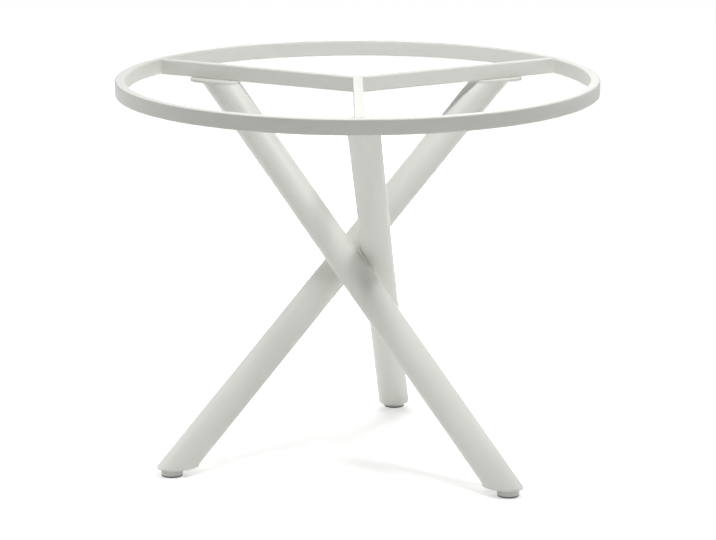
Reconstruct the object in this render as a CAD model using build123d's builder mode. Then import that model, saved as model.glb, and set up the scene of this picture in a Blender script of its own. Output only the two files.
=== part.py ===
from build123d import *
from math import asin, cos, degrees, radians, sin, sqrt
import os

# A round table frame of painted steel tube.
# A ring of flat tube carries the table top, three arms of the same tube meet in
# its middle, and a round leg hangs from the underside of each arm. Every leg
# leans across the middle to the far side of the floor, and touches the other two
# on its way. The ring with its arms and the three crossed legs are two welded
# parts, held together by one screw at the top of each leg.
# Lengths are in millimetres. The origin is on the floor, on the axis of the ring,
# and the first arm points to the front, along -Y.

os.makedirs("parts", exist_ok=True)

# Overall sizes
frame_height = 745.0      # floor to the top face of the ring
ring_diameter = 910.0     # outside of the ring
arm_count = 3
first_arm_turn = -90.0    # degrees from +X to the first arm

# Flat tube of the ring and the arms
rail_width = 18.0
rail_height = 29.0
rail_wall = 2.0
rail_corner = 2.5         # outside radius of the tube's corners
vent_diameter = 5.0       # lets hot air out of the closed ring in the paint oven

# Round tube of the legs
leg_diameter = 60.0
leg_wall = 2.0
seat_radius = 303.9       # ring axis to where a leg's middle line meets the arm's underside
seat_turn = 1.2           # degrees by which that point is turned from the arm
foot_radius = 376.6       # ring axis to where a leg's middle line meets the floor
crossing_gap = 0.3        # clearance between two legs where they cross

# Plates welded on the ends of the legs
leg_plate_thickness = 5.0
leg_plate_edge = 1.0      # rounding of the upper edge
leg_plate_reach = 67.0    # middle of the leg's end to the plate's outer tip
foot_plate_thickness = 3.0

# Countersunk screw and blind rivet nut, one pair for each leg
screw_inset = 14.0        # the plate's tip to the middle of the screw, along the arm
screw_diameter = 8.0
screw_reach = 10.0        # how far the screw goes into the rivet nut
screw_head_diameter = 16.0
head_taper = 45.0         # degrees between the head's cone and the screw's axis
screw_tip = 0.8           # chamfer on the screw's end
socket_width = 5.0        # across the flats of the hexagon socket
socket_depth = 2.8
nut_diameter = 11.0
nut_length = 15.0
nut_head = 0.8            # height and flare of the flush head
nut_bulge_height = 3.0    # of the collar upset inside the arm
nut_side_room = 0.2       # between that collar and the arm's inner corners
hole_clearance = 0.5      # round the screw, in the plate
thread_clearance = 0.05
nut_clearance = 0.05

# Welds
weld_gap = 0.2            # left between an arm's end and the ring before welding
arm_weld_size = 3.0
arm_weld_clearance = 0.05 # between the weld metal and the face of the ring
crossing_weld_radius = 11.0

# Feet
foot_height = 15.0        # floor to the underside of the foot plate
glide_shift = 12.3        # glide's middle, outwards from the middle of the leg's end
glide_diameter = 41.0
glide_edge = 1.0
sole_diameter = 40.0
sole_thickness = 2.5
sole_edge = 0.8
stem_diameter = 9.0
stem_grip = 3.0           # length of the barb above the foot plate
barb_lip = 0.8
stem_clearance = 0.1

# Worked out from the sizes above
ring_inner_radius = ring_diameter / 2 - rail_width
ring_middle_radius = ring_diameter / 2 - rail_width / 2
arm_underside = frame_height - rail_height
arm_end = sqrt(ring_inner_radius**2 - (rail_width / 2) ** 2) - weld_gap
leg_radius = leg_diameter / 2
leg_top = arm_underside - leg_plate_thickness
leg_bottom = foot_height + foot_plate_thickness
arm_spread = 360 / arm_count

# Two crossing legs clear each other when their middle lines pass this far apart.
# Seen from above each line passes the ring's axis at the waist radius, and a few
# rounds of this sum bring that radius and the lean of the legs into agreement.
leg_spacing = leg_diameter + crossing_gap
half_spread = radians(arm_spread / 2)
waist_radius = leg_spacing / (2 * sin(half_spread))
for _ in range(8):
    run = sqrt(seat_radius**2 - waist_radius**2) + sqrt(foot_radius**2 - waist_radius**2)
    slope = run / arm_underside
    waist_radius = leg_spacing / (2 * sin(half_spread)) * sqrt(1 + (slope * cos(half_spread)) ** 2)
leg_twist = 180 - degrees(asin(waist_radius / seat_radius) + asin(waist_radius / foot_radius))
oval_length = leg_radius * sqrt(1 + slope**2)


def on_circle(radius, turn, height):
    """A point at a radius and a turn in degrees about the ring's axis."""
    return Vector(radius * cos(radians(turn)), radius * sin(radians(turn)), height)


def arm_turn(number):
    return first_arm_turn + number * arm_spread


def seat_point(number):
    return on_circle(seat_radius, arm_turn(number) + seat_turn, arm_underside)


def foot_point(number):
    return on_circle(foot_radius, arm_turn(number) + seat_turn + leg_twist, 0)


def leg_axis_at(number, height):
    """The point of a leg's middle line at a height above the floor."""
    seat, foot = seat_point(number), foot_point(number)
    return foot + (seat - foot) * (height / arm_underside)


def lean_direction(number):
    """The level direction in which a leg travels from its seat to its foot."""
    way = foot_point(number) - seat_point(number)
    return Vector(way.X, way.Y, 0).normalized()


def arm_plane(number, height):
    """A level plane whose X runs out along an arm."""
    return Plane((0, 0, height), x_dir=on_circle(1, arm_turn(number), 0), z_dir=(0, 0, 1))


def leg_end_plane(number, axis_height, height):
    """A level plane at a leg's end, with X along the long way of its oval section."""
    middle = leg_axis_at(number, axis_height)
    return Plane((middle.X, middle.Y, height), x_dir=lean_direction(number), z_dir=(0, 0, 1))


def upright_plane(point):
    """A plane standing on a point, for profiles turned about the vertical there."""
    return Plane((point.X, point.Y, 0), x_dir=(1, 0, 0), z_dir=(0, -1, 0))


def save(part, name):
    part.label = name
    export_step(part, f"parts/{name}.step")


# The screw sits under the middle of the arm, a little inwards from the plate's tip.
plate_tip = leg_axis_at(0, leg_top) - lean_direction(0) * leg_plate_reach
screw_radius = plate_tip.dot(on_circle(1, arm_turn(0), 0)) - screw_inset


def screw_point(number):
    return on_circle(screw_radius, arm_turn(number), 0)


def rail_section():
    """The section of the flat tube, drawn upright about its middle."""
    RectangleRounded(rail_width, rail_height, rail_corner)
    RectangleRounded(
        rail_width - 2 * rail_wall,
        rail_height - 2 * rail_wall,
        rail_corner - rail_wall,
        mode=Mode.SUBTRACT,
    )


# Ring: one length of flat tube, rolled on edge and butt welded
with BuildPart() as top_ring:
    with BuildSketch(Plane.XZ):
        with Locations((ring_middle_radius, frame_height - rail_height / 2)):
            rail_section()
    revolve(axis=Axis.Z)
    with BuildSketch(Plane.XY.offset(arm_underside)):
        with PolarLocations(ring_middle_radius, arm_count, first_arm_turn + arm_spread / 2):
            Circle(vent_diameter / 2)
    extrude(amount=rail_height / 2, mode=Mode.SUBTRACT)
save(top_ring.part, "top_ring")


def make_arm(number):
    """An arm, mitred to its two neighbours in the middle and cut square at the ring."""
    outwards = on_circle(1, arm_turn(number), 0)
    across = on_circle(1, arm_turn(number) + 90, 0)
    start = outwards * -rail_width + Vector(0, 0, frame_height - rail_height / 2)
    with BuildPart() as arm:
        with BuildSketch(Plane(start, x_dir=across, z_dir=outwards)):
            rail_section()
        extrude(amount=arm_end + rail_width)
        for side in (1, -1):
            mitre_turn = arm_turn(number) + side * (90 - arm_spread / 2)
            mitre = Plane((0, 0, 0), x_dir=(0, 0, 1), z_dir=on_circle(1, mitre_turn, 0))
            split(bisect_by=mitre, keep=Keep.TOP)
        hole = screw_point(number) + Vector(0, 0, arm_underside)
        with BuildSketch(Plane(hole)):
            Circle(nut_diameter / 2 + nut_clearance)
        extrude(amount=rail_height / 2, mode=Mode.SUBTRACT)
        rim = arm.edges().filter_by(GeomType.CIRCLE).group_by(Axis.Z)[0]
        chamfer(rim, nut_head)
    return arm.part


def make_arm_weld(number):
    """Two hollow fillet welds in the upright corners between an arm and the ring."""
    corner = sqrt(ring_inner_radius**2 - (rail_width / 2) ** 2)
    bead_middle = rail_width / 2 + arm_weld_size / 2
    bead_face = rail_width / 2 + arm_weld_size
    with BuildPart() as weld:
        with BuildSketch(arm_plane(number, arm_underside + rail_corner)):
            with Locations((corner, bead_middle), (corner, -bead_middle)):
                Rectangle(2 * arm_weld_size, arm_weld_size)
            with Locations((corner - arm_weld_size, bead_face), (corner - arm_weld_size, -bead_face)):
                Circle(arm_weld_size, mode=Mode.SUBTRACT)
            Circle(ring_inner_radius - arm_weld_clearance, mode=Mode.INTERSECT)
        extrude(amount=rail_height - 2 * rail_corner)
    return weld.part


def leg_plane(number):
    """The plane square to a leg, at its point on the floor."""
    return Plane(foot_point(number), z_dir=seat_point(number) - foot_point(number))


leg_line_length = (seat_point(0) - foot_point(0)).length


def make_leg_tube(number):
    """A round tube, cut level at both ends."""
    with BuildPart() as tube:
        with BuildSketch(leg_plane(number).offset(-leg_diameter)):
            Circle(leg_radius)
            Circle(leg_radius - leg_wall, mode=Mode.SUBTRACT)
        extrude(amount=leg_line_length + 2 * leg_diameter)
        split(bisect_by=Plane.XY.offset(leg_top), keep=Keep.BOTTOM)
        split(bisect_by=Plane.XY.offset(leg_bottom), keep=Keep.TOP)
    return tube.part


def make_crossing_weld(number):
    """Weld metal between a leg and the next one, where they pass closest."""
    other = (number + 1) % arm_count
    start_a, start_b = foot_point(number), foot_point(other)
    way_a, way_b = seat_point(number) - start_a, seat_point(other) - start_b
    between = start_a - start_b
    aa, ab, bb = way_a.dot(way_a), way_a.dot(way_b), way_b.dot(way_b)
    share_a = (ab * way_b.dot(between) - bb * way_a.dot(between)) / (aa * bb - ab * ab)
    near_a = start_a + way_a * share_a
    across = way_a.cross(way_b).normalized()
    middle = near_a + across * (across.dot(start_b - near_a) / 2)
    with BuildPart() as weld:
        with BuildSketch(Plane(middle, z_dir=across)):
            Circle(crossing_weld_radius)
        extrude(amount=leg_radius / 2, both=True)
        for leg in (number, other):
            with BuildSketch(leg_plane(leg)):
                Circle(leg_radius)
            extrude(amount=leg_line_length, mode=Mode.SUBTRACT)
    return weld.part


def make_leg_plate(number):
    """The flat plate on top of a leg: as wide as the leg, with a round outer end."""
    straight = leg_plate_reach - leg_radius
    with BuildPart() as plate:
        with BuildSketch(leg_end_plane(number, leg_top, leg_top)):
            Ellipse(oval_length, leg_radius)
            with Locations((-straight / 2, 0)):
                Rectangle(straight, leg_diameter)
            with Locations((-straight, 0)):
                Circle(leg_radius)
        extrude(amount=leg_plate_thickness)
        fillet(plate.faces().sort_by(Axis.Z)[-1].edges(), leg_plate_edge)
        with BuildSketch(Plane(screw_point(number) + Vector(0, 0, leg_top))):
            Circle(screw_diameter / 2 + hole_clearance)
        extrude(amount=leg_plate_thickness, mode=Mode.SUBTRACT)
        rim = plate.edges().filter_by(GeomType.CIRCLE).group_by(Axis.Z)[0].sort_by(SortBy.RADIUS)[0]
        chamfer(rim, (screw_head_diameter - screw_diameter) / 2 - hole_clearance)
    return plate.part


def make_screw(number):
    """A countersunk screw with a hexagon socket, put in from below, flush with the plate."""
    with BuildPart() as screw:
        with BuildSketch(Plane(screw_point(number) + Vector(0, 0, leg_top))):
            Circle(screw_diameter / 2)
        extrude(amount=arm_underside + screw_reach - leg_top)
        chamfer(screw.edges().sort_by(Axis.Z)[-1], screw_tip)
        with BuildSketch(Plane(screw_point(number) + Vector(0, 0, leg_top))):
            Circle(screw_head_diameter / 2)
        extrude(amount=(screw_head_diameter - screw_diameter) / 2, taper=head_taper)
        with BuildSketch(Plane(screw_point(number) + Vector(0, 0, leg_top))):
            RegularPolygon(socket_width / 2, 6, major_radius=False)
        extrude(amount=socket_depth, mode=Mode.SUBTRACT)
    return screw.part


def make_nut(number):
    """A blind rivet nut, its head flush in the arm's underside and its collar upset inside."""
    bore = screw_diameter / 2 + thread_clearance
    body = nut_diameter / 2
    collar = rail_width / 2 - rail_corner - nut_side_room
    wall_top = arm_underside + rail_wall
    point = screw_point(number)
    with BuildPart() as nut:
        with BuildSketch(upright_plane(point)):
            with BuildLine():
                Polyline(
                    (bore, arm_underside),
                    (body + nut_head, arm_underside),
                    (body, arm_underside + nut_head),
                    (body, wall_top),
                    (collar, wall_top),
                    (collar, wall_top + nut_bulge_height / 2),
                    (body, wall_top + nut_bulge_height),
                    (body, arm_underside + nut_length),
                    (bore, arm_underside + nut_length),
                    close=True,
                )
            make_face()
        revolve(axis=Axis(point, (0, 0, 1)))
    return nut.part


def glide_point(number):
    """Where a glide stands: a little outwards from the middle of the leg's end."""
    middle = leg_axis_at(number, leg_bottom)
    return Vector(middle.X, middle.Y, 0) + lean_direction(number) * glide_shift


def make_foot_plate(number):
    """The oval plate that closes a leg at the floor, with a hole for the glide's stem."""
    with BuildPart() as plate:
        with BuildSketch(leg_end_plane(number, leg_bottom, foot_height)):
            Ellipse(oval_length, leg_radius)
        extrude(amount=foot_plate_thickness)
        with BuildSketch(Plane(glide_point(number) + Vector(0, 0, foot_height))):
            Circle(stem_diameter / 2 + stem_clearance)
        extrude(amount=foot_plate_thickness, mode=Mode.SUBTRACT)
    return plate.part


def make_glide(number):
    """A moulded glide: a disc on the floor side and a barbed stem through the foot plate."""
    disc = glide_diameter / 2
    stem = stem_diameter / 2
    plate_top = foot_height + foot_plate_thickness
    barb = plate_top + stem_clearance
    point = glide_point(number)
    with BuildPart() as glide:
        with BuildSketch(upright_plane(point)):
            with BuildLine():
                Polyline(
                    (0, sole_thickness),
                    (disc, sole_thickness),
                    (disc, foot_height),
                    (stem, foot_height),
                    (stem, barb),
                    (stem + barb_lip, barb),
                    (stem - barb_lip, barb + stem_grip),
                    (0, barb + stem_grip),
                    close=True,
                )
            make_face()
        revolve(axis=Axis(point, (0, 0, 1)))
        rims = glide.edges().filter_by(GeomType.CIRCLE).group_by(SortBy.RADIUS)[-1]
        fillet(rims, glide_edge)
    return glide.part


def make_sole(number):
    """The soft sole under a glide."""
    with BuildPart() as sole:
        with BuildSketch(Plane(glide_point(number))):
            Circle(sole_diameter / 2)
        extrude(amount=sole_thickness)
        fillet(sole.edges().group_by(Axis.Z)[0], sole_edge)
    return sole.part


makers = {
    "arm": make_arm,
    "arm_weld": make_arm_weld,
    "arm_nut": make_nut,
    "leg_tube": make_leg_tube,
    "crossing_weld": make_crossing_weld,
    "leg_plate": make_leg_plate,
    "plate_screw": make_screw,
    "foot_plate": make_foot_plate,
    "glide": make_glide,
    "glide_sole": make_sole,
}
for name, make in makers.items():
    for number in range(arm_count):
        save(make(number), f"{name}_{number + 1}")
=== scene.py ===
# %% [markdown]
# # A round table frame in powder-coated steel
#
# The real object is a ring of flat steel tube with three arms in it, on three
# round legs that lean across the middle and touch each other where they pass.
# Everything steel was welded and then sprayed with an off-white powder that melts
# in an oven into one smooth skin.
#
# The solid parts already exist as a CAD model, so this lesson leaves their shapes
# alone. It gives every part its finish, adds the weld metal that the CAD model only
# hints at, and sets up the light and the camera.

# %% Load the frame
import math

import bpy
from mathutils import Matrix, Vector


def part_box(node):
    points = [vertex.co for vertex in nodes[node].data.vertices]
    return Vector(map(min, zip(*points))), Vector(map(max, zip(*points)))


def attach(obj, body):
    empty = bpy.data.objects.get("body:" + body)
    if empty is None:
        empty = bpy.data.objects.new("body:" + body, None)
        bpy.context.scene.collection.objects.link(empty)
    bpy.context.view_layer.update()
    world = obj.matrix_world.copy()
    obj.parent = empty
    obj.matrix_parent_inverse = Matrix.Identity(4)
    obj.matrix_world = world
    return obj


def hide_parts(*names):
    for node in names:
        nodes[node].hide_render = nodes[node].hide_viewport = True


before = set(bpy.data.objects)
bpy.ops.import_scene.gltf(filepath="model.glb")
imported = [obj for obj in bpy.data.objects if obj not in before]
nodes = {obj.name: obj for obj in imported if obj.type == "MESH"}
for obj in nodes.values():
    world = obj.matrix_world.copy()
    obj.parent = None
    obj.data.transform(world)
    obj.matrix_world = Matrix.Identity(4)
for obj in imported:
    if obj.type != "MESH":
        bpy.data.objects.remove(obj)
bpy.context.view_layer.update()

# %% [markdown]
# ## Writing node trees as sums
#
# A procedural material is mostly arithmetic, and arithmetic is easier to read as an
# expression than as a list of nodes and links. The class below wraps one socket. When
# two wrapped sockets are added or multiplied, the matching Math node appears in the
# tree. The `Tree` class has one method that adds any other node: its settings come
# first, then the values or the sockets that feed it.

# %% Sockets with arithmetic
class Socket:
    """An output socket in a node tree, with the usual operators."""

    def __init__(self, tree, output):
        self.tree = tree
        self.output = output

    def __getitem__(self, name):
        return Socket(self.tree, self.output.node.outputs[name])

    def _math(self, operation, first, second):
        return self.tree.add("ShaderNodeMath", {"operation": operation}, {0: first, 1: second})

    def __add__(self, other):
        return self._math("ADD", self, other)

    def __radd__(self, other):
        return self._math("ADD", other, self)

    def __sub__(self, other):
        return self._math("SUBTRACT", self, other)

    def __rsub__(self, other):
        return self._math("SUBTRACT", other, self)

    def __mul__(self, other):
        return self._math("MULTIPLY", self, other)

    def __rmul__(self, other):
        return self._math("MULTIPLY", other, self)


# %% Trees with one method
class Tree:
    """A node tree, filled by one method."""

    def __init__(self, tree):
        self.tree = tree
        self.tree.nodes.clear()

    def add(self, kind, settings=None, inputs=None):
        """Adds a node and returns its first output that is in use."""
        node = self.tree.nodes.new(kind)
        for name, value in (settings or {}).items():
            setattr(node, name, value)
        for name, value in (inputs or {}).items():
            if isinstance(value, Socket):
                self.tree.links.new(value.output, node.inputs[name])
            else:
                node.inputs[name].default_value = value
        used = [output for output in node.outputs if output.enabled]
        return Socket(self, used[0]) if used else node


def new_material(name):
    """A material with an empty tree."""
    material = bpy.data.materials.new(name)
    material.use_nodes = True
    return material, Tree(material.node_tree)


print("helpers ready")

# %% [markdown]
# ## Reading sizes from the parts
#
# Added pieces must sit exactly on the steel, so no place is typed in by hand. The
# ring, the front arm and its weld give the tube's width, the inside of the ring and
# the height of a corner. A leg is a tube that was cut level at both ends, so the
# middle of its top rim and the middle of its bottom rim are two points of its axis.

# %% Sizes of the ring and the arms
MM = 0.001
LEGS = (1, 2, 3)

_, ring_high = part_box("top_ring")
front_arm_low, front_arm_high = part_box("arm_1")
front_weld_low, front_weld_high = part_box("arm_weld_1")
rail_width = front_arm_high.x - front_arm_low.x
ring_inner_radius = ring_high.x - rail_width
corner_weld_size = front_weld_high.x - rail_width / 2
print("tube", round(rail_width / MM, 2), "mm wide")
print("inside radius of the ring", round(ring_inner_radius / MM, 1), "mm")


# %% The axis of each leg
RIM_TOLERANCE = 0.1 * MM   # points this close to the highest or lowest one are on a rim


def rim_middle(points):
    """The middle of the box around some points."""
    low = Vector(map(min, *points))
    high = Vector(map(max, *points))
    return (low + high) / 2


def leg_axis(number):
    """The two ends of a leg's axis, lower end first, and the leg's radius."""
    points = [vertex.co for vertex in nodes[f"leg_tube_{number}"].data.vertices]
    bottom, top = min(p.z for p in points), max(p.z for p in points)
    low = rim_middle([p for p in points if p.z - bottom < RIM_TOLERANCE])
    high = rim_middle([p for p in points if top - p.z < RIM_TOLERANCE])
    way = (high - low).normalized()
    radius = max((p - low).cross(way).length for p in points)
    return low, high, radius


axes = {number: leg_axis(number) for number in LEGS}
leg_radius = axes[1][2]
for number, (low, high, _) in axes.items():
    print("leg", number, "from", [round(c, 3) for c in low], "to", [round(c, 3) for c in high])

# %% [markdown]
# ## The camera
#
# The photograph was taken from a little above the table top and from far away with
# a long lens, so the ring looks like a flat ellipse and upright lines hardly lean.
# The camera is placed by its position and by three angles. Building its matrix from
# the three directions avoids any doubt about the order of turns.

# %% Camera
camera_place = Vector((-0.0438, -5.3707, 1.6274))
camera_turn = math.radians(0.471)      # away from +Y, towards +X
camera_dip = math.radians(13.159)      # below level
camera_roll = math.radians(-0.051)     # about the line of sight
sensor_width = 36.0                    # mm
focal_length = 145.30                  # mm

forward = Vector((
    math.sin(camera_turn) * math.cos(camera_dip),
    math.cos(camera_turn) * math.cos(camera_dip),
    -math.sin(camera_dip),
))
level_right = Vector((math.cos(camera_turn), -math.sin(camera_turn), 0))
level_up = level_right.cross(forward)
right = math.cos(camera_roll) * level_right + math.sin(camera_roll) * level_up
up = right.cross(forward)
camera_axes = Matrix((right, up, -forward)).transposed().to_4x4()

camera_data = bpy.data.cameras.new("camera")
camera_data.sensor_fit = "HORIZONTAL"
camera_data.sensor_width = sensor_width
camera_data.lens = focal_length
camera = bpy.data.objects.new("camera", camera_data)
camera.matrix_world = Matrix.Translation(camera_place) @ camera_axes
bpy.context.scene.collection.objects.link(camera)
bpy.context.scene.camera = camera
print("camera", round(camera_place.length, 2), "m from the middle of the floor")

# %% [markdown]
# ## Powder coat
#
# Powder paint is sprayed dry and melts in an oven. It flows almost flat but keeps a
# slight waviness that painters call orange peel, with waves a few millimetres long,
# and a much finer grain on top. The film is satin: it shows a soft, wide highlight.
# Its thickness varies slowly over a part, so the colour drifts by a percent or two.
#
# Three sizes of noise on Object coordinates make this. The slow drift and a little of
# the grain mix the two colours. The waves and the grain feed one Bump node, and they
# also roughen the highlight a little here and there.

# %% Powder coat material
PAINT_FULL = (0.800, 0.800, 0.757, 1)
PAINT_THIN = (0.770, 0.772, 0.732, 1)
PAINT_ROUGHNESS = 0.40
PAINT_SPECULAR = 0.4

DRIFT_SIZE = 180 * MM
PEEL_SIZE = 2.6 * MM
GRAIN_SIZE = 0.5 * MM
DRIFT_TINT = 0.6           # how much of the thin colour the drift mixes in
GRAIN_TINT = 0.2
PEEL_ROUGHNESS = 0.08      # how much rougher the tops of the waves are
GRAIN_ROUGHNESS = 0.06
RELIEF_DEPTH = 0.12 * MM
RELIEF_STRENGTH = 0.35
PEEL_SHARE = 0.75          # of the relief, and the grain has the rest


def noise(tree, place, size, detail=2.0):
    """Noise whose lumps are about the given size in metres."""
    return tree.add(
        "ShaderNodeTexNoise",
        inputs={"Vector": place, "Scale": 1 / size, "Detail": detail, "Roughness": 0.5},
    )


def make_powder_coat():
    """Satin powder paint with its waves, its grain and a slow drift of colour."""
    material, tree = new_material("powder_coat")
    place = tree.add("ShaderNodeTexCoord")["Object"]
    drift = noise(tree, place, DRIFT_SIZE, detail=3.0)
    peel = noise(tree, place, PEEL_SIZE)
    grain = noise(tree, place, GRAIN_SIZE)
    thinness = drift * DRIFT_TINT + grain * GRAIN_TINT
    roughness = PAINT_ROUGHNESS + peel * PEEL_ROUGHNESS + grain * GRAIN_ROUGHNESS
    relief = peel * PEEL_SHARE + grain * (1 - PEEL_SHARE)
    colour = tree.add(
        "ShaderNodeMix",
        {"data_type": "RGBA"},
        {0: thinness, 6: PAINT_FULL, 7: PAINT_THIN},
    )
    bump = tree.add(
        "ShaderNodeBump",
        inputs={"Strength": RELIEF_STRENGTH, "Distance": RELIEF_DEPTH, "Height": relief},
    )
    paint = tree.add(
        "ShaderNodeBsdfPrincipled",
        inputs={
            "Base Color": colour["Result"],
            "Roughness": roughness,
            "Normal": bump,
            "Specular IOR Level": PAINT_SPECULAR,
        },
    )
    tree.add("ShaderNodeOutputMaterial", inputs={"Surface": paint})
    return material


powder_coat = make_powder_coat()
print(powder_coat.name, "has", len(powder_coat.node_tree.nodes), "nodes")

# %% [markdown]
# ## Zinc, plastic and rubber
#
# The screws and the rivet nuts are zinc plated: a bright metal with a fine,
# cloudy crystal pattern. The glides are moulded in a pale grey plastic that took the
# fine texture of its mould. The soles are a dark grey rubber with a dry, dusty grain.
#
# All three share one recipe, a base colour that is varied by a cloudy noise and a
# bump from a finer one, so one function makes them from a few numbers.

# %% Materials of the small parts
CLOUD_ROUGHNESS = 0.12     # how much rougher the lightest clouds are
GRAIN_STRENGTH = 0.5


def make_small_part_material(
    name, dark, light, cloud_size, grain_size, grain_depth, roughness, metallic
):
    """A cloudy, grainy material from a few numbers. Its sizes and its depth are in metres."""
    material, tree = new_material(name)
    place = tree.add("ShaderNodeTexCoord")["Object"]
    cloud = noise(tree, place, cloud_size, detail=4.0)
    grain = noise(tree, place, grain_size, detail=3.0)
    colour = tree.add("ShaderNodeMix", {"data_type": "RGBA"}, {0: cloud, 6: dark, 7: light})
    bump = tree.add(
        "ShaderNodeBump",
        inputs={"Strength": GRAIN_STRENGTH, "Distance": grain_depth, "Height": grain},
    )
    surface = tree.add(
        "ShaderNodeBsdfPrincipled",
        inputs={
            "Base Color": colour["Result"],
            "Roughness": roughness + cloud * CLOUD_ROUGHNESS,
            "Metallic": metallic,
            "Normal": bump,
        },
    )
    tree.add("ShaderNodeOutputMaterial", inputs={"Surface": surface})
    return material


zinc_plate = make_small_part_material(
    "zinc_plate",
    dark=(0.52, 0.53, 0.55, 1),
    light=(0.70, 0.70, 0.69, 1),
    cloud_size=1.6 * MM,
    grain_size=0.25 * MM,
    grain_depth=0.02 * MM,
    roughness=0.24,
    metallic=1.0,
)
glide_plastic = make_small_part_material(
    "glide_plastic",
    dark=(0.60, 0.60, 0.58, 1),
    light=(0.68, 0.68, 0.655, 1),
    cloud_size=9 * MM,
    grain_size=0.35 * MM,
    grain_depth=0.05 * MM,
    roughness=0.42,
    metallic=0.0,
)
sole_rubber = make_small_part_material(
    "sole_rubber",
    dark=(0.095, 0.095, 0.092, 1),
    light=(0.15, 0.15, 0.145, 1),
    cloud_size=5 * MM,
    grain_size=0.4 * MM,
    grain_depth=0.10 * MM,
    roughness=0.70,
    metallic=0.0,
)
print("small part materials:", zinc_plate.name, glide_plastic.name, sole_rubber.name)

# %% [markdown]
# ## Giving out the finishes
#
# On the real frame everything that is welded was painted in one go, and the screws,
# nuts and glides came later. So powder coat is the rule here, and only the families
# of small parts are exceptions. A part's family is its name without its number.

# %% Every CAD part gets its finish
finish_of = {
    "arm_nut": zinc_plate,
    "plate_screw": zinc_plate,
    "glide": glide_plastic,
    "glide_sole": sole_rubber,
}
for name, part in nodes.items():
    family = name.rstrip("0123456789").rstrip("_")
    part.data.materials.clear()
    part.data.materials.append(finish_of.get(family, powder_coat))
print("finished parts:", len(nodes))

# %% [markdown]
# ## A weld bead as a row of ripples
#
# An electric arc melts a small pool of metal, and the pool freezes in steps as the
# welder moves on. That leaves a row of overlapping ripples. Under a coat of powder
# they still show.
#
# Geometry Nodes suit this well. The path goes in as a chain of edges, becomes a
# curve and is cut into even steps. A flattened ball is set on each step, turned to
# face along the path. Its radius comes from a value stored on the path, so a bead
# can swell and shrink, with a little seeded chance added. A Remesh modifier then
# melts the balls into one closed skin.

# %% The bead tree
RIPPLE_SEGMENTS = 12
RIPPLE_RINGS = 8

bead_group = bpy.data.node_groups.new("weld bead", "GeometryNodeTree")
bead_sockets = (
    ("Path", "INPUT", "NodeSocketGeometry"),
    ("Ripple Spacing", "INPUT", "NodeSocketFloat"),
    ("Ripple Half Thickness", "INPUT", "NodeSocketFloat"),
    ("Size Wander", "INPUT", "NodeSocketFloat"),
    ("Seed", "INPUT", "NodeSocketInt"),
    ("Finish", "INPUT", "NodeSocketMaterial"),
    ("Bead", "OUTPUT", "NodeSocketGeometry"),
)
bead_tree = Tree(bead_group)
for label, side, kind in bead_sockets:
    bead_group.interface.new_socket(name=label, in_out=side, socket_type=kind)

given = bead_tree.add("NodeGroupInput")
curve = bead_tree.add("GeometryNodeMeshToCurve", inputs={"Mesh": given["Path"]})
steps = bead_tree.add(
    "GeometryNodeResampleCurve",
    {"mode": "LENGTH"},
    {"Curve": curve, "Length": given["Ripple Spacing"]},
)
ripple = bead_tree.add(
    "GeometryNodeMeshUVSphere",
    inputs={"Segments": RIPPLE_SEGMENTS, "Rings": RIPPLE_RINGS, "Radius": 1.0},
)
turn = bead_tree.add(
    "FunctionNodeAlignRotationToVector",
    {"axis": "Z"},
    {"Vector": bead_tree.add("GeometryNodeInputTangent")},
)
chance = bead_tree.add(
    "FunctionNodeRandomValue",
    {"data_type": "FLOAT"},
    {2: 1 - given["Size Wander"], 3: 1 + given["Size Wander"], "Seed": given["Seed"]},
)
bead_radius = bead_tree.add(
    "GeometryNodeInputNamedAttribute",
    {"data_type": "FLOAT"},
    {"Name": "bead_radius"},
)
radius = bead_radius * chance
size = bead_tree.add(
    "ShaderNodeCombineXYZ",
    inputs={"X": radius, "Y": radius, "Z": given["Ripple Half Thickness"]},
)
ripples = bead_tree.add(
    "GeometryNodeInstanceOnPoints",
    inputs={"Points": steps, "Instance": ripple, "Rotation": turn, "Scale": size},
)
joined = bead_tree.add("GeometryNodeRealizeInstances", inputs={"Geometry": ripples})
painted = bead_tree.add(
    "GeometryNodeSetMaterial",
    inputs={"Geometry": joined, "Material": given["Finish"]},
)
bead_tree.add("NodeGroupOutput", inputs={"Bead": painted})
print("bead tree has", len(bead_group.nodes), "nodes")

# %% [markdown]
# ## From paths to a bead
#
# One piece of weld metal may have several paths, open ones or closed loops, so the
# function below joins them into one mesh of points and edges. It sets the tree's
# inputs, evaluates both modifiers, and keeps only the plain mesh they give. The Remesh
# modifier leaves its new faces on an empty first material slot, so the slots are
# cleared at the end and the bead gets its finish once more.

# %% The bead maker
BEAD_STEP = 1.7 * MM       # from one ripple to the next
BEAD_SKIN = 0.35 * MM      # fineness of the skin


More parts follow.
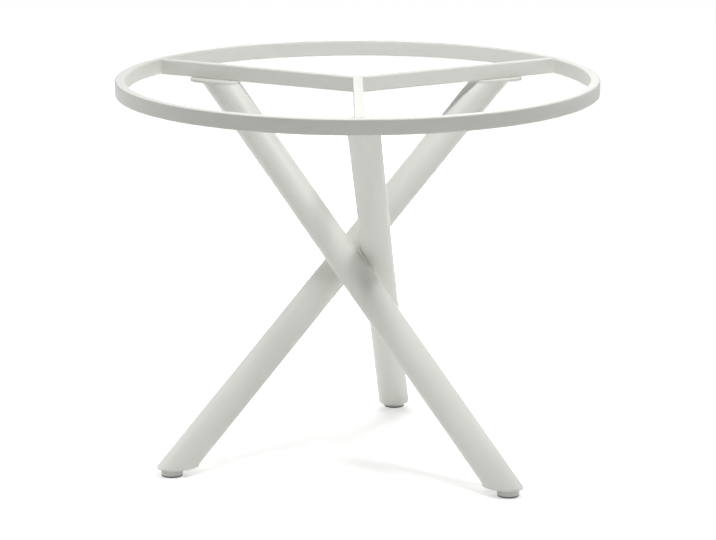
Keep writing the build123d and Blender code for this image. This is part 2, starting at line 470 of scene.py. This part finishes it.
def make_bead(name, paths, half_thickness, wander, seed):
    """Welds along some paths. A path is a list of points with a bead radius each."""
    mesh = bpy.data.meshes.new(name)
    points = [point for path, _ in paths for point, _ in path]
    radii = [radius for path, _ in paths for _, radius in path]
    edges = []
    start = 0
    for path, closed in paths:
        count = len(path)
        edges += [(start + step, start + step + 1) for step in range(count - 1)]
        if closed:
            edges.append((start + count - 1, start))
        start += count
    mesh.from_pydata(points, edges, [])
    mesh.attributes.new("bead_radius", "FLOAT", "POINT").data.foreach_set("value", radii)
    bead = bpy.data.objects.new(name, mesh)
    bpy.context.scene.collection.objects.link(bead)

    modifier = bead.modifiers.new("ripples", "NODES")
    modifier.node_group = bead_group
    values = {
        "Ripple Spacing": BEAD_STEP,
        "Ripple Half Thickness": half_thickness,
        "Size Wander": wander,
        "Seed": seed,
        "Finish": powder_coat,
    }
    for item in bead_group.interface.items_tree:
        if item.name in values:
            modifier[item.identifier] = values[item.name]
    skin = bead.modifiers.new("skin", "REMESH")
    skin.mode = "VOXEL"
    skin.voxel_size = BEAD_SKIN
    skin.use_smooth_shade = True

    view = bpy.context.evaluated_depsgraph_get()
    bead.data = bpy.data.meshes.new_from_object(bead.evaluated_get(view))
    bead.data.name = name
    bead.modifiers.clear()
    bead.data.materials.clear()
    bead.data.materials.append(powder_coat)
    return bead


print("bead maker ready, one ripple every", round(BEAD_STEP / MM, 2), "mm")

# %% [markdown]
# ## Beads in the corners of the ring
#
# Each arm stops at the ring and is welded down both of its sides. In the photograph
# these beads are small light spots in the upright corners. The CAD model has a
# smooth fillet there, and this bead takes its place. It is a little thicker at its
# two ends, where the welder starts and stops.

# %% Corner beads
CORNER_STEPS = 8               # steps of a path from bottom to top
CORNER_RADIUS = 0.8            # this and the next two are shares of the CAD weld's size
CORNER_STAND_OFF = 0.3         # from the walls to the middle of the bead
CORNER_MARGIN = 0.5            # from the ends of the CAD weld to the ends of the path
END_SWELL = 0.25               # extra radius at the ends of a bead, as a share
SWELL_POWER = 4                # a higher one keeps the swelling closer to the ends
CORNER_HALF_THICKNESS = 0.75   # half a ripple's thickness as a share of the step
CORNER_WANDER = 0.12           # how far a ripple's radius strays, as a share

front_arm_angle = -math.pi / 2
arm_spacing = math.tau / len(LEGS)


def arm_direction(number):
    """The level directions along an arm, outwards, and across it."""
    angle = front_arm_angle + (number - 1) * arm_spacing
    outwards = Vector((math.cos(angle), math.sin(angle), 0))
    sideways = Vector((-math.sin(angle), math.cos(angle), 0))
    return outwards, sideways


def corner_path(number, side):
    """An upright path in the corner between one side of an arm and the ring."""
    outwards, sideways = arm_direction(number)
    stand_off = CORNER_STAND_OFF * corner_weld_size
    aside = rail_width / 2 + stand_off
    reach = math.sqrt(ring_inner_radius**2 - aside**2) - stand_off
    margin = CORNER_MARGIN * corner_weld_size
    low, high = front_weld_low.z, front_weld_high.z
    path = []
    for step in range(CORNER_STEPS + 1):
        share = step / CORNER_STEPS
        swell = 1 + END_SWELL * abs(2 * share - 1) ** SWELL_POWER
        height = low + margin + (high - low - 2 * margin) * share
        point = outwards * reach + sideways * side * aside + Vector((0, 0, height))
        path.append((point, CORNER_RADIUS * corner_weld_size * swell))
    return path, False


for number in LEGS:
    bead = make_bead(
        f"corner_bead_{number}",
        [corner_path(number, side) for side in (1, -1)],
        half_thickness=CORNER_HALF_THICKNESS * BEAD_STEP,
        wander=CORNER_WANDER,
        seed=number,
    )
    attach(bead, "root")
    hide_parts(f"arm_weld_{number}")
    print(bead.name, len(bead.data.polygons), "faces")

# %% [markdown]
# ## Beads round the crossings
#
# Two tubes that pass each other touch at one point only. The welder fills the narrow
# gap round that point, and runs once round the filling. The gap widens away from the
# point, and it widens slowest halfway between the directions of the two tubes. So the
# bead is a long loop that lies that way, and its radius changes on its way round. The
# sum for it is the height of an arc: how far a circle of the leg's radius has fallen
# away at a given distance from its highest line.

# %% Crossing beads
CROSSING_POINTS = 48
LOOP_INSET = 0.5 * MM          # the loop's half width is this much less than the CAD weld's reach
LOOP_STRETCH = 2.2             # length of the loop as a share of its width
BEAD_PROUD = 1.35              # bead radius as a share of half the gap it fills
LEAST_RADIUS = 0.9 * MM        # of a bead, however narrow the gap
CROSSING_HALF_THICKNESS = 0.8  # half a ripple's thickness as a share of the step
CROSSING_WANDER = 0.18
CROSSING_SEEDS = 10            # added to the number, so that the corners' seeds stay theirs


def nearest_points(first, second):
    """The points of two lines that are nearest to each other, and the lines' directions."""
    start_a, way_a = first[0], (first[1] - first[0]).normalized()
    start_b, way_b = second[0], (second[1] - second[0]).normalized()
    between = start_a - start_b
    lean = way_a.dot(way_b)
    share = (lean * way_b.dot(between) - way_a.dot(between)) / (1 - lean**2)
    near_a = start_a + way_a * share
    near_b = start_b + way_b * (near_a - start_b).dot(way_b)
    return near_a, near_b, way_a, way_b


def fall(distance):
    """How far a leg's surface has fallen away beside its highest line."""
    return leg_radius - math.sqrt(leg_radius**2 - distance**2)


def crossing_path(first, second, loop_radius):
    """A closed path round the place where two legs touch."""
    near_a, near_b, way_a, way_b = nearest_points(axes[first], axes[second])
    across = (near_b - near_a).normalized()
    half_gap = ((near_b - near_a).length - 2 * leg_radius) / 2
    middle = (near_a + near_b) / 2
    along = (way_a + way_b if way_a.dot(way_b) > 0 else way_a - way_b).normalized()
    beside = across.cross(along)
    path = []
    for step in range(CROSSING_POINTS):
        angle = math.tau * step / CROSSING_POINTS
        round_loop = along * math.cos(angle) * LOOP_STRETCH + beside * math.sin(angle)
        offset = round_loop * loop_radius
        gap_a = half_gap + fall(offset.cross(way_a).length)
        gap_b = half_gap + fall(offset.cross(way_b).length)
        point = middle + offset + across * (gap_b - gap_a) / 2
        path.append((point, max(BEAD_PROUD * (gap_a + gap_b) / 2, LEAST_RADIUS)))
    return path, True


def crossing_weld_radius(number, middle):
    """How far the CAD weld reaches from the crossing."""
    weld = nodes[f"crossing_weld_{number}"].data
    return max((vertex.co - middle).length for vertex in weld.vertices)


for number in LEGS:
    following = number % len(LEGS) + 1
    near_a, near_b, _, _ = nearest_points(axes[number], axes[following])
    loop_radius = crossing_weld_radius(number, (near_a + near_b) / 2) - LOOP_INSET
    bead = make_bead(
        f"crossing_bead_{number}",
        [crossing_path(number, following, loop_radius)],
        half_thickness=CROSSING_HALF_THICKNESS * BEAD_STEP,
        wander=CROSSING_WANDER,
        seed=CROSSING_SEEDS + number,
    )
    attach(bead, "root")
    faces = len(bead.data.polygons)
    print(bead.name, faces, "faces, loop", round(2 * loop_radius / MM, 1), "mm wide")

# %% [markdown]
# ## Floor and background
#
# The photograph has a pure white background. Pouring light on the floor until it
# turns white would also bleach the paint, so the floor and the world are made white
# only for rays that come from the camera, from a mirror-like reflection or through
# glass. Light Path tells those rays apart. All other rays meet a plain pale floor and
# a dim sky.
#
# The floor's glow is added to its own lit colour. It is weak near the table, where the
# lamps already make the floor almost white, so the feet keep a faint shadow there, and
# it is strong further off, where no lamp reaches.

# %% Floor
FLOOR_WIDTH = 40.0
FLOOR_COLOUR = (0.90, 0.90, 0.89, 1)
WHITE = (1, 1, 1, 1)
NEAR_GLOW = 0.34
FAR_GLOW = 0.86
NEAR_EDGE = 1.0            # metres from the middle, where the glow starts to grow
FAR_EDGE = 3.0             # where it has grown to its full strength


def seen_directly(tree):
    """1 for rays from the camera, a glossy reflection or glass, else 0."""
    path = tree.add("ShaderNodeLightPath")
    largest = path["Is Camera Ray"]
    for kind in ("Is Glossy Ray", "Is Transmission Ray"):
        largest = tree.add("ShaderNodeMath", {"operation": "MAXIMUM"}, {0: largest, 1: path[kind]})
    return largest


floor_material, tree = new_material("studio_floor")
plain = tree.add("ShaderNodeBsdfDiffuse", inputs={"Color": FLOOR_COLOUR})
place = tree.add("ShaderNodeTexCoord")["Object"]
distance = tree.add("ShaderNodeVectorMath", {"operation": "LENGTH"}, {0: place})["Value"]
further = tree.add(
    "ShaderNodeMapRange",
    {"interpolation_type": "SMOOTHSTEP"},
    {"Value": distance, "From Min": NEAR_EDGE, "From Max": FAR_EDGE},
)
weak = tree.add("ShaderNodeEmission", inputs={"Color": WHITE, "Strength": NEAR_GLOW})
strong = tree.add("ShaderNodeEmission", inputs={"Color": WHITE, "Strength": FAR_GLOW})
glow = tree.add("ShaderNodeMixShader", inputs={0: further, 1: weak, 2: strong})
bright = tree.add("ShaderNodeAddShader", inputs={0: plain, 1: glow})
mixed = tree.add("ShaderNodeMixShader", inputs={0: seen_directly(tree), 1: plain, 2: bright})
tree.add("ShaderNodeOutputMaterial", inputs={"Surface": mixed})

half = FLOOR_WIDTH / 2
floor_corners = [(-half, -half, 0), (half, -half, 0), (half, half, 0), (-half, half, 0)]
floor_mesh = bpy.data.meshes.new("studio_floor")
floor_mesh.from_pydata(floor_corners, [], [(0, 1, 2, 3)])
floor_mesh.materials.append(floor_material)
floor = bpy.data.objects.new("studio_floor", floor_mesh)
bpy.context.scene.collection.objects.link(floor)
print("floor", FLOOR_WIDTH, "m wide")

# %% World
SKY_LIGHT = 0.133          # strength of the sky as a lamp

world = bpy.data.worlds.new("studio")
world.use_nodes = True
bpy.context.scene.world = world
tree = Tree(world.node_tree)
strength = SKY_LIGHT + (1 - SKY_LIGHT) * seen_directly(tree)
sky = tree.add("ShaderNodeBackground", inputs={"Color": WHITE, "Strength": strength})
tree.add("ShaderNodeOutputWorld", inputs={"Surface": sky})
print("sky strength", SKY_LIGHT)

# %% [markdown]
# ## Light
#
# The tops of the tubes are nearly white, the outside of the ring towards the camera
# is a plain grey, and the same kind of face at the back of the ring is much lighter.
# Each leg is darker just under the leg that crosses above it. That is the mark of
# small softboxes over the table, a little to the front and to the right.
#
# The undersides are light too, so light also comes up from the floor. Four panels, one
# on each side of the table, shine straight down and turn the floor into a reflector.
# The powers are kept so low that the tops of the tubes stay just below white.

# %% Lamps
# name, middle in metres, turn about Y in degrees, width and depth in metres, power in watts
LAMPS = (
    ("softbox on the right", (0.4, -0.4, 2.2), 0, (0.3, 0.3), 12.8),
    ("softbox over the front", (0.0, -0.6, 2.2), 0, (0.3, 0.3), 8.9),
    ("fill from the left", (-2.4, 0.3, 2.0), -58, (1.2, 1.2), 4.9),
    ("floor panel behind", (0.0, 2.0, 0.95), 0, (1.6, 0.8), 48.0),
    ("floor panel in front", (0.0, -2.0, 0.95), 0, (1.6, 0.8), 12.7),
    ("floor panel on the left", (-1.9, 0.2, 0.95), 0, (0.8, 1.6), 19.0),
    ("floor panel on the right", (1.9, 0.2, 0.95), 0, (0.8, 1.6), 20.5),
)

for name, middle, lamp_turn, lamp_size, power in LAMPS:
    lamp_data = bpy.data.lights.new(name, "AREA")
    lamp_data.shape = "RECTANGLE"
    lamp_data.size, lamp_data.size_y = lamp_size
    lamp_data.energy = power
    lamp = bpy.data.objects.new(name, lamp_data)
    lamp.location = middle
    lamp.rotation_euler.y = math.radians(lamp_turn)
    lamp.visible_camera = False
    bpy.context.scene.collection.objects.link(lamp)
    print(name, lamp_size, "m,", power, "W")

# %% [markdown]
# ## Showing the colours
#
# The Standard view shows each colour as the light makes it, with nothing lifted or
# softened, so a paint colour can be compared with its swatch.

# %% View settings
bpy.context.scene.view_settings.view_transform = "Standard"
